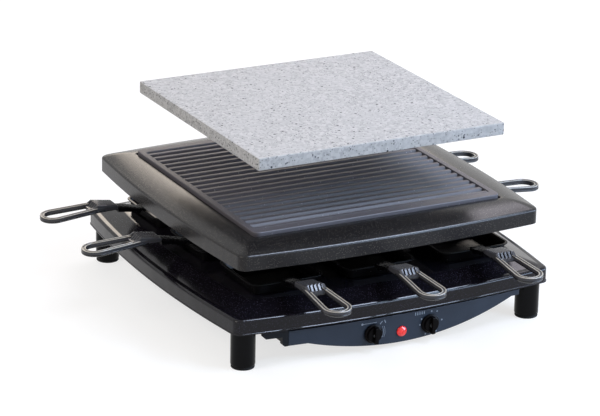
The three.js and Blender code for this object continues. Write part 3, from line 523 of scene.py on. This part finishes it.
def bored(name, x, y, z, radius, reach, steps):
    """A round tool for a hole from front to back, in millimetres."""
    tool = mesh_of(name, *turned([(radius, -reach), (radius, reach)], steps))
    return moved(tool, Matrix.Translation((x * mm, y * mm, z * mm)) @ Matrix.Rotation(math.pi / 2, 4, "X"))


# Tray
tray_bow = 12.4


def make_tray():
    """A pressed sheet with a bowed rim and a raised flat, and with holes for the wires and the mains lead."""
    tray, gland = Box("base_tray"), Box("cord_gland")
    corner, sheet, rim_height = 10.2, 1.6, 17.8
    wire_hole, wire_hole_corner, lead_hole, lead_reach = 13, 6, 6.3, 10
    rim, underside = tray.bottom + rim_height, tray.top - sheet
    over = softened([(0, tray.bottom, 0), (0, tray.bottom + 1.2, 0.3), (0.5, tray.bottom + 1.7, 0.3),
                     (0.5, rim, 3.6), (7.4, rim + 0.5, 3), (29, tray.top, 14), (60, tray.top, 0)], 6)
    under = softened([(60, underside, 0), (29, underside, 12), (7.4, rim - 1.3, 3), (1.9, rim - 1.9, 0.9),
                      (1.9, tray.bottom, 0)], 3)
    rings = [at(bowed_outline(tray.right - inset, tray_bow, corner), height) for inset, height in over[:-1]]
    hole = bowed_outline(wire_hole, 0, wire_hole_corner)
    rings += [at(hole, tray.top), at(hole, underside)]
    rings += [at(bowed_outline(tray.right - inset, tray_bow, corner), height) for inset, height in under[1:]]
    lead = bored("lead_hole", 0, tray.back, gland.z, lead_hole, lead_reach, 48)
    mesh = combine("tray", mesh_of("tray", *skin(rings, True)), [lead])
    keep("tray", "base", mesh, enamel, ["base_tray"])


# Hood
def make_hood():
    """A bowed frame of sheet: a skirt with a round upper edge, a crowned top, and a well with a ledge for the
    plate. A boss under each corner takes a screw."""
    hood, screw = Box("hood_frame"), Box("hood_screw_back_right")
    bow, corner, well_corner = 8.8, 10.7, 2.5
    sheet, shoulder_inset, crown_rise = 2, 1.4, 7.7
    bottom, rim = Box("hood_carrier").top + 2.6, hood.top - crown_rise
    shoulder, inside = hood.right - shoulder_inset, hood.right - sheet
    well, ledge = Box("cast_plate").right + 0.5, hood.top - 6.8
    ledge_half = well - 9
    steps, steps_under = 14, 4

    def ring(share, half, height):
        """An outline on the way from the bowed rim to the straight well."""
        return at(bowed_outline(half, bow * (1 - share), corner + (well_corner - corner) * share), height)

    def crown(share):
        return rim + crown_rise * (1 - (1 - share) ** 2)

    slope = [(step / steps, shoulder + (well - shoulder) * step / steps, crown(step / steps))
             for step in range(1, steps)]
    edge = softened([(hood.right, bottom, 0), (hood.right, rim - 0.2, 5), slope[0][1:] + (0,)], 6)
    lip = softened([slope[-1][1:] + (0,), (well, hood.top, 1.2), (well, ledge, 0.8),
                    (ledge_half, ledge, 0)], 4)
    rings = [ring(0, half, height) for half, height in edge[:-1]]
    rings += [ring(*step) for step in slope]
    rings += [ring(1, half, height) for half, height in lip[1:]]
    rings += [ring(1, ledge_half, ledge - sheet), ring(1, well + sheet, ledge - sheet)]
    for step in range(steps_under, -1, -1):
        share = step / steps_under
        half = shoulder - sheet + (well + sheet - shoulder + sheet) * share
        rings.append(ring(share, half, crown(share) - sheet))
    rings += [ring(0, inside, rim - 3.4), ring(0, inside, bottom)]

    corners = [(x, y) for x in (-screw.x, screw.x) for y in (-screw.x, screw.x)]
    boss_radius, boss_top, bore_radius, bore_bottom = 4.5, hood.top - 2.6, 2.1, 100
    boss = softened([(0, hood.bottom, 0), (boss_radius, hood.bottom, 0.6), (boss_radius, boss_top, 0),
                     (0, boss_top, 0)])
    bosses = [mesh_of("boss", *turned(boss, 24, x, y)) for x, y in corners]
    bores = [mesh_of("bore", *turned([(bore_radius, bore_bottom), (bore_radius, screw.top + 2)], 16, x, y))
             for x, y in corners]
    mesh = combine("hood", mesh_of("hood", *skin(rings, True)), bosses, "UNION")
    keep("hood", "base", combine("hood", mesh, bores), hood_coat, ["hood_frame"])


# Cast plate
def make_cast_plate():
    """A square casting with a raised border, wider at the front and back, and ribs from side to side."""
    plate = Box("cast_plate")
    corner, inner_corner, front_border_more = 7, 3.5, 5
    rib_count, rib_pitch, rib_reach = 21, 13.7, plate.right - 5.5
    floor = plate.bottom + 5.8
    outer = softened([(0, plate.bottom, 0), (0, plate.top, 1.1), (7, plate.top, 0)], 4)
    inner = softened([(0, plate.top, 0), (7, plate.top, 0.9), (8.4, floor, 0.9), (14, floor, 0)], 3)
    rings = [at(rounded_outline(plate.right - inset, plate.right - inset, max(corner - inset, 1)), height)
             for inset, height in outer[:-1]]
    well = plate.right - front_border_more
    rings += [at(rounded_outline(plate.right - inset, well - inset, inner_corner), height)
              for inset, height in inner[1:-1]]
    flank = [(-5.2, floor - 0.6, 0), (-5.0, floor - 0.1, 0), (-2.7, floor + 3.6, 1.5)]
    section = softened(both_sides(flank), 4)
    ribs = []
    for index in range(rib_count):
        middle = (index - (rib_count - 1) / 2) * rib_pitch
        ribs.append(mesh_of("rib", *skin([[(x, middle + across, up) for across, up in section]
                                          for x in (-rib_reach, rib_reach)])))
    mesh = combine("cast_grill_plate", mesh_of("slab", *skin(rings)), ribs, "UNION")
    keep("cast_grill_plate", "plate", mesh, plate_coat, ["cast_plate"])


# Stone slab
def make_stone():
    """A sawn slab with its edges and corners just broken, hanging a little right of the middle."""
    slab = Box("stone_slab")
    corner, broken = 1.9, 0.9
    edge = softened([(3, slab.bottom, 0), (0, slab.bottom, broken), (0, slab.top, broken),
                     (3, slab.top, 0)], 3)
    rings = [[(x + slab.x, y, height)
              for x, y in rounded_outline(slab.half - inset, slab.half - inset, max(corner - inset, broken))]
             for inset, height in edge]
    keep("stone", "stone", mesh_of("stone", *skin(rings)), stone, ["stone_slab"])


# Feet and pads
def make_feet():
    """Round posts whose pin goes up into the tray, each with a pad whose pin goes up into the post."""
    pin, pad_pin, pad_thickness, pad_set_in = 5, 6, 3, 0.6
    for name in ("front_left", "front_right", "back_left", "back_right"):
        foot, pad = Box(f"foot_{name}"), Box(f"foot_pad_{name}")
        shoulder, socket, socket_top = foot.top - 6, pad_pin + 0.3, pad.top + 0.3
        line = softened([(0, socket_top, 0), (socket, socket_top, 0.3), (socket, foot.bottom, 0.3),
                         (foot.half, foot.bottom, 1.4), (foot.half, shoulder, 0.4), (pin, shoulder, 0.3),
                         (pin, foot.top, 0.6), (0, foot.top, 0)])
        post = mesh_of(f"post_{name}", *turned(line, 56, foot.x, foot.y))
        keep(f"post_{name}", "base", post, black_plastic, [f"foot_{name}"])
        edge, rise = foot.half - pad_set_in, pad.bottom + pad_thickness
        line = softened([(0, pad.bottom, 0), (edge, pad.bottom, 0.8), (edge, rise, 0.4), (pad_pin, rise, 0.2),
                         (pad_pin, pad.top, 0.4), (0, pad.top, 0)])
        disc = mesh_of(f"pad_{name}", *turned(line, 48, foot.x, foot.y))
        keep(f"pad_{name}", "base", disc, rubber, [f"foot_pad_{name}"])


# Control panel
fascia, lens = Box("control_fascia"), Box("lamp_lens")
thermostat, selector = Box("thermostat_knob"), Box("selector_knob")
foot_place = Box("foot_front_right").x


def fascia_face(x):
    """How far in front of the grill's middle the panel's bowed face lies."""
    return -fascia.front - tray_bow * (x / foot_place) ** 2


def on_panel(x, z, points):
    """Places points, drawn with Z out of the panel, on the panel."""
    return [(x + across, -fascia_face(x) - out, z + up) for across, up, out in points]


def fascia_line():
    """The fascia's front outline of across and up, from its top left corner: a square left end, a shelf, a
    crescent below the lamp, and a narrow strip at the right."""
    top, strip = fascia.top - 0.8, Box("control_housing").top - 11
    shelf, half_chord, drop = strip - 11, fascia.right - 15, 27
    radius = (half_chord ** 2 + drop ** 2) / (2 * drop)
    middle, steps = strip - drop + radius, 48
    start, end = math.acos((middle - shelf) / radius), math.acos((middle - strip) / radius)
    corners = [(fascia.left, top, 0), (fascia.left, shelf, 0), (lens.x - radius * math.sin(start), shelf, 4)]
    for step in range(1, steps + 1):
        angle = (start + end) * step / steps - start
        corners.append((lens.x + radius * math.sin(angle), middle - radius * math.cos(angle), 0))
    return softened(corners + [(fascia.right, strip, 0.6), (fascia.right, top, 0)], 4)


def drawn_in(line, amount):
    """A closed outline, drawn in by so many millimetres."""
    points = [Vector(point) for point in line]
    kept = []
    for index, here in enumerate(points):
        ahead, behind = points[(index + 1) % len(points)] - here, here - points[index - 1]
        inwards = Vector((-ahead.y, ahead.x)).normalized() + Vector((-behind.y, behind.x)).normalized()
        inwards = inwards.normalized() / max(0.5, math.cos(ahead.angle(behind) / 2))
        kept.append(tuple(here + inwards * amount))
    return kept


def make_fascia():
    """A sheet with a soft front edge, cut into upright strips and bent to the panel's bow. The black housing
    shows left of it and above it."""
    thickness, edge, strip_width = 3, 0.6, 6
    shaft_hole, lens_hole, reach = 3.3, 4.9, 12
    line = fascia_line()
    layers = [(0, thickness), (0, edge), (edge * 0.29, edge * 0.29), (edge, 0)]
    rings = [[(x, -depth, z) for x, z in drawn_in(line, amount)] for amount, depth in layers]
    flat = mesh_of("fascia", *skin(rings))
    work = bmesh.new()
    work.from_mesh(flat)
    strips = round(fascia.right / strip_width)
    for step in range(-strips, strips + 1):
        bmesh.ops.bisect_plane(work, geom=work.verts[:] + work.edges[:] + work.faces[:], dist=1e-7,
                               plane_co=(step * strip_width * mm, 0, 0), plane_no=(1, 0, 0))
    for vertex in work.verts:
        vertex.co.y = -fascia_face(vertex.co.x / mm) * mm - vertex.co.y
    work.to_mesh(flat)
    work.free()
    turn_outwards(flat)
    holes = [bored("hole", place.x, fascia.front + thickness, place.z, radius, reach, 32)
             for place, radius in ((thermostat, shaft_hole), (selector, shaft_hole), (lens, lens_hole))]
    keep("fascia", "base", combine("fascia", flat, holes), fascia_plastic, ["control_fascia"], 40)


def make_knob(name, body, node):
    """A round knob with a grip bar across it and a bore for its shaft."""
    knob = Box(node)
    bore, bore_depth = 3.3, 9.1
    line = softened([(0, 0.8, 0), (knob.half, 0.8, 0.4), (knob.half, 2.6, 0.6), (9.2, 3.4, 0.5),
                     (8.6, 6.6, 0.8), (0, 7.0, 0)], 3)
    disc = mesh_of("disc", *turned(line, 56))
    wide, narrow = rounded_outline(2.3, 9.9, 1.2, 5), rounded_outline(1.9, 9.3, 1.0, 5)
    bar = mesh_of("bar", *skin([
        at(wide, 1.6), at(wide, 8.6), at([(x * 0.96, y * 0.99) for x, y in wide], 10.2),
        at(narrow, 11.0), at([(x * 0.8, y * 0.97) for x, y in narrow], 11.2)]))
    mesh = combine(name, disc, [bar], "UNION")
    mesh = combine(name, mesh, [mesh_of("bore", *turned([(bore, -2), (bore, bore_depth)], 24))])
    for vertex in mesh.vertices:
        vertex.co = Vector(on_panel(knob.x, knob.z, [tuple(vertex.co / mm)])[0]) * mm
    keep(name, body, mesh, knob_plastic, [node])


def stroke(start, end, width):
    """The outline of a straight printed stroke."""
    along = (Vector(end) - Vector(start)).normalized() * width / 2
    side = Vector((-along.y, along.x))
    return [tuple(Vector(start) - along - side), tuple(Vector(end) + along - side),
            tuple(Vector(end) + along + side), tuple(Vector(start) - along + side)]


def dot(x, z, radius, steps=14):
    return [(x + radius * math.cos(math.tau * step / steps), z + radius * math.sin(math.tau * step / steps))
            for step in range(steps)]


def arc_strokes(radius, half_turn, width=0.5, steps=8):
    """Short strokes, end to end, that make an arc right of the knob, through so many degrees up and down."""
    angles = [math.radians(half_turn * (2 * step / steps - 1)) for step in range(steps + 1)]
    ends = [(radius * math.cos(angle), radius * math.sin(angle)) for angle in angles]
    return [stroke(ends[step], ends[step + 1], width) for step in range(steps)]


def print_marks(name, knob, outlines):
    """Printed marks around a knob: thin bodies of ink on the bowed face."""
    sunk, raised = -0.2, 0.12
    points, faces = [], []
    for outline in outlines:
        count, base = len(outline), len(points)
        for height in (sunk, raised):
            points += [(knob.x + across, -fascia_face(knob.x + across) - height, knob.z + up)
                       for across, up in outline]
        faces.append([base + step for step in range(count)])
        faces.append([base + count + step for step in reversed(range(count))])
        for step in range(count):
            after = (step + 1) % count
            faces.append([base + step, base + after, base + count + after, base + count + step])
    keep(name, "base", mesh_of(name, points, faces), marking_ink, sharp=20, weighted=False)


def make_marks():
    """A pointed heat scale around the thermostat; plain ticks and dots around the selector."""
    heat = [stroke((-12.4, 12.3), (4.2, 12.3), 0.55), dot(-13.1, 12.3, 1.3),
            stroke((9.0, 9.7), (11.4, 12.2), 0.9), stroke((14.4, 13.3), (15.6, 10.3), 0.9)]
    print_marks("heat_scale", thermostat, heat + arc_strokes(13.3, 28) + arc_strokes(15.3, 24))
    tick_pitch, tick_count, dot_radius = 2.8, 5, 0.95
    ticks = [stroke((tick_pitch * index - 18.4, 12.6), (tick_pitch * index - 18.4, 15.2), 1.0)
             for index in range(tick_count)]
    dot_places = ((2.4, 13.7), (9.6, 12.5), (16.1, 1.2), (8.9, -11), (-4.8, -12), (-12.2, 0), (-10.4, 6.4))
    print_marks("selector_scale", selector, ticks + [dot(*place, dot_radius) for place in dot_places])


def make_lens():
    """A low dome with a flange that lies on the panel."""
    line = softened([(0, 0.3, 0), (lens.half, 0.3, 0.2), (lens.half, 1.4, 0.5), (5.3, 2.4, 1.2), (3, 3.9, 2),
                     (0, 4.5, 0)])
    points, faces = turned(line, 48)
    mesh = mesh_of("lens", on_panel(lens.x, lens.z, points), faces)
    keep("lens", "base", mesh, lens_glow, ["lamp_lens"])


# Pans, arms and grips are drawn once, with the pan's middle at the origin and the grip along X, from the boxes
# of one that points right. The loop's places along X follow from where the grip starts, its heights from the
# collar's crest.
pan, arm, grip = Box("pan_right_mid"), Box("pan_arm_right_mid"), Box("pan_grip_right_mid")
turns = {"front": -90, "right": 0, "back": 90, "left": 180}
grip_start, crest = grip.left - pan.x, grip.top
crest_at = grip_start + 25.8
hollow_foot = crest_at + 4.7
opening = hollow_foot + 3.2
rail_start = crest_at - 11.3
tip_centre = rail_start + 61.25
tip_half, root_half = 16.5, 11.8
rail_width, rail_top, rail_fall = 5.4, crest - 2.6, 3.9
joint = crest - 7.6


def pan_mesh():
    """A square pan with drawn sides, a rolled rim and a soft inner corner."""
    corner, sheet = 12, 1
    profile = softened([
        (12, pan.bottom, 0), (6.6, pan.bottom, 1.6), (5.2, pan.bottom + 1.4, 1.0),
        (2.6, pan.top - sheet, 0.5), (0, pan.top - sheet, 0.3), (0, pan.top, 0.5), (3.1, pan.top, 0.8),
        (6.2, pan.bottom + 2.4, 1.4), (8.2, pan.bottom + sheet, 2.0), (14, pan.bottom + sheet, 0)], 4)
    rings = [at(rounded_outline(pan.half - inset, pan.half - inset, max(corner - inset, 2.5), 10), height)
             for inset, height in profile]
    return mesh_of("pan", *skin(rings))


def arm_mesh():
    """A pressed strap with a crowned back that hooks over the rim and climbs to the grip. Each station has its
    place beyond the pan's side, and the heights of its top and underside above the rim."""
    stations = [(-4, 2.2, 0.4), (0.3, 2.4, 0.4), (4.1, 3.06, -3.2), (9, 4.4, -2.2), (15, 5.75, 0.6),
                (20.5, 6.8, 1.6), (25.6, 7.6, 2.4), (arm.right - pan.right, arm.top - pan.top, 3.4)]
    root_half_width, tip_half_width = 8, 10.3
    root, tip = stations[0][0], stations[-1][0]
    rings = []
    for beyond, above, below in stations:
        high, low = pan.top + above, pan.top + below
        wide = root_half_width + (tip_half_width - root_half_width) * (beyond - root) / (tip - root)
        crown = 0.7 * min(1, (beyond - root) / 10)
        section = softened([(-wide, low, 0.5), (wide, low, 0.5), (wide, high - crown, 0.5),
                            (wide * 0.45, high, 1.5), (-wide * 0.45, high, 1.5), (-wide, high - crown, 0.5),
                            (-wide, low, 0.5)], 3)
        rings.append([(pan.half + beyond, across, up) for across, up in section[:-1]])
    return mesh_of("arm", *skin(rings))


def loop_path(root, rail_steps=12, tip_steps=20):
    """The middle line of the loop's bar, from one rail's root round the tip to the other's."""
    lean = math.atan((tip_half - root_half) / (tip_centre - rail_start))
    radius = tip_half - rail_width / 2
    touch = tip_centre - radius * math.sin(lean)
    foot = radius * math.cos(lean) - (touch - root) * math.tan(lean)
    turn = math.pi / 2 + lean
    rail = []
    for step in range(rail_steps):
        along = (touch - root) * step / rail_steps
        rail.append((root + along, foot + along * math.tan(lean)))
    tip = []
    for step in range(tip_steps + 1):
        angle = turn * (2 * step / tip_steps - 1)
        tip.append((tip_centre + radius * math.cos(angle), radius * math.sin(angle)))
    return [(along, -across) for along, across in rail] + tip + rail[::-1]


def sweep(name, corners, steps, root):
    """A closed section of across and up, swept along the loop; up counts from the rails' falling top."""
    section = softened(corners, steps)
    line = [Vector(point) for point in loop_path(root)]
    rings = []
    for index, here in enumerate(line):
        ahead = (line[min(index + 1, len(line) - 1)] - line[max(index - 1, 0)]).normalized()
        across = Vector((ahead.y, -ahead.x))
        level = rail_top - rail_fall * (here.x - rail_start) / (tip_centre - rail_start)
        rings.append([(here.x + across.x * side, here.y + across.y * side, level + up)
                      for side, up in section])
    return mesh_of(name, *skin(rings))


def narrowed(along, side):
    """A place beside the grip's middle line, on the collar, which narrows a little towards the arm."""
    full_width_from, narrowing = grip_start + 14.7, 0.06 / 15
    return side * (1 - narrowing * max(0, full_width_from - along))


def collar_mesh():
    """The humped collar. Its sides are rounded, as the outermost rings are drawn in from the full outline."""
    line = softened([(grip_start, joint - 0.6, 0), (opening + 0.6, joint - 0.2, 0),
                     (opening + 0.6, crest - 3.6, 0.6), (hollow_foot + 0.2, crest - 3.4, 1.0),
                     (crest_at, crest, 1.1), (grip_start + 0.9, crest - 3.6, 2.6),
                     (grip_start, crest - 5, 1.0), (grip_start, joint - 0.6, 0)], 5)[:-1]
    right = [(9.5, 0), (10.9, 0.1), (11.7, 0.6), (12.1, 1.3)]
    rings = []
    for side, inset in [(-side, inset) for side, inset in right[::-1]] + right:
        rings.append([(along + (inset * 0.6 if along < grip_start + 1 else 0), narrowed(along, side),
                       up - (inset if up > crest - 5.8 else 0)) for along, up in line])
    return mesh_of("collar", *skin(rings))


def hollow_tools():
    """What is cut out of the collar's sloping face: a hollow towards the opening, and four slots in it."""
    half_width, floor, above = 8.8, crest - 5.3, crest + 3.2
    slot_count, slot_pitch, slot_half, slot_depth = 4, 4.5, 1.0, 3.4
    back = hollow_foot - (hollow_foot - crest_at) * (above - floor) / (crest - floor)
    share = (opening - rail_start) / (tip_centre - rail_start)
    inner = root_half + (tip_half - root_half) * share - rail_width
    end = [(opening + 2, -inner), (opening + 2, inner)]
    mouth = [(hollow_foot, -half_width)] + end + [(hollow_foot, half_width)]
    brow = [(back, -half_width)] + end + [(back, half_width)]
    hollow = mesh_of("hollow", *skin([at(mouth, floor), at(brow, above)]))
    slots = []
    for index in range(slot_count):
        middle = (index - (slot_count - 1) / 2) * slot_pitch
        slots.append(mesh_of("slot", *skin([
            [(hollow_foot - slot_depth, side, floor), (hollow_foot + 1.4, side, floor),
             (back + 1.4, side, above), (back - slot_depth, side, above)]
            for side in (middle - slot_half, middle + slot_half)])))
    return hollow, slots


def grip_meshes():
    """The grey upper shell with its collar, the lower shell, parted from it by a dark joint, and two ridges
    along the loop."""
    root, ridge_root, ridge_places = rail_start + 2.2, rail_start + 12.7, (-1.75, 1.75)
    rails = sweep("rails", both_sides([(2.2, -3.9, 0), (2.5, -3.6, 0.2), (2.65, -1.0, 0.6), (2.3, -0.35, 0.3),
                                       (1.2, -0.35, 0.2), (0.8, -0.75, 0.2)]), 3, root)
    hollow, slots = hollow_tools()
    upper = combine("upper", collar_mesh(), [rails], "UNION")
    upper = combine("upper", combine("upper", upper, [hollow]), slots)

    low_rails = sweep("lower", both_sides([(1.6, -6.15, 0.8), (2.4, -5.6, 0.6), (2.7, -4.4, 0.3),
                                           (2.6, -4.1, 0.1), (2.2, -4.1, 0.1), (2.1, -3.6, 0)]), 3, root)
    base_half, base_end = 11.9, opening + 0.4
    base_line = softened([(grip_start, crest - 12.2, 1.0), (base_end, crest - 9.4, 1.0),
                          (base_end, joint - 0.5, 0.2), (grip_start, joint - 0.9, 0.2),
                          (grip_start, crest - 12.2, 1.0)], 3)[1:-1]
    block = mesh_of("block", *skin([[(along, narrowed(along, side), up) for along, up in base_line]
                                    for side in (-base_half, base_half)]))
    lower = combine("lower", low_rails, [block], "UNION")

    ridges = [sweep("ridge", [(middle - 0.7, -0.6, 0), (middle - 0.55, -0.1, 0.2), (middle, 0.08, 0.5),
                              (middle + 0.55, -0.1, 0.2), (middle + 0.7, -0.6, 0)], 2, ridge_root)
              for middle in ridge_places]
    return upper, lower, combine("ridges", ridges[0], ridges[1:], "UNION")


def make_pans():
    square, strap = pan_mesh(), arm_mesh()
    upper, lower, ridges = grip_meshes()
    for body in frame["bodies"]:
        if not body.startswith("pan_"):
            continue
        name = body.removeprefix("pan_")
        here, turn = Box(body), math.radians(turns[name.split("_")[0]])
        place = Matrix.Translation((here.x * mm, here.y * mm, 0)) @ Matrix.Rotation(turn, 4, "Z")
        keep(f"square_{body}", body, moved(square, place), pan_coat, [body])
        keep(f"arm_{name}", body, moved(strap, place), arm_steel, [f"pan_arm_{name}"])
        shell = moved(upper, place)
        keep(f"grip_shell_{name}", body, shell, grip_plastic, [f"pan_grip_{name}"])
        # The lower shell's near-black plastic is painted shade under the loop
        keep(f"grip_under_{name}", body, moved(lower, place), underside_shade_plastic)
        # The ridges' pale plastic is painted highlight along the loop's rails
        keep(f"grip_ridges_{name}", body, moved(ridges, place), ridge_highlight_plastic)


make_tray()
make_hood()
make_cast_plate()
make_stone()
make_feet()
make_fascia()
make_knob("thermostat_turn_knob", "thermostat_dial", "thermostat_knob")
make_knob("selector_turn_knob", "selector_dial", "selector_knob")
make_marks()
make_lens()
make_pans()

# Finishes of the CAD nodes, also of those that a piece stands for. The first start that fits a name counts.
finishes = {
    "base_tray": enamel, "hood_frame": hood_coat, "cast_plate": plate_coat, "stone_slab": stone,
    "control_fascia": fascia_plastic, "control_housing": housing_plastic, "lamp_lens": lens_glow,
    "foot_pad_": rubber, "foot_": black_plastic,
    "thermostat_knob": knob_plastic, "selector_knob": knob_plastic,
    "pan_grip_": grip_plastic, "pan_arm_": arm_steel, "pan_": pan_coat,
    "hood_screw_": bright_steel, "element_clip_": bright_steel, "thermostat_shaft": bright_steel,
    "selector_shaft": bright_steel, "heating_element": element_steel, "column": black_steel,
    "hood_carrier": black_steel,
    "thermostat": ceramic, "element_terminal": ceramic, "mains_terminal": ceramic, "": dark_plastic,
}
for name, node in nodes.items():
    finish = next(material for start, material in finishes.items() if name.startswith(start))
    for slot in node.material_slots:
        slot.material = finish
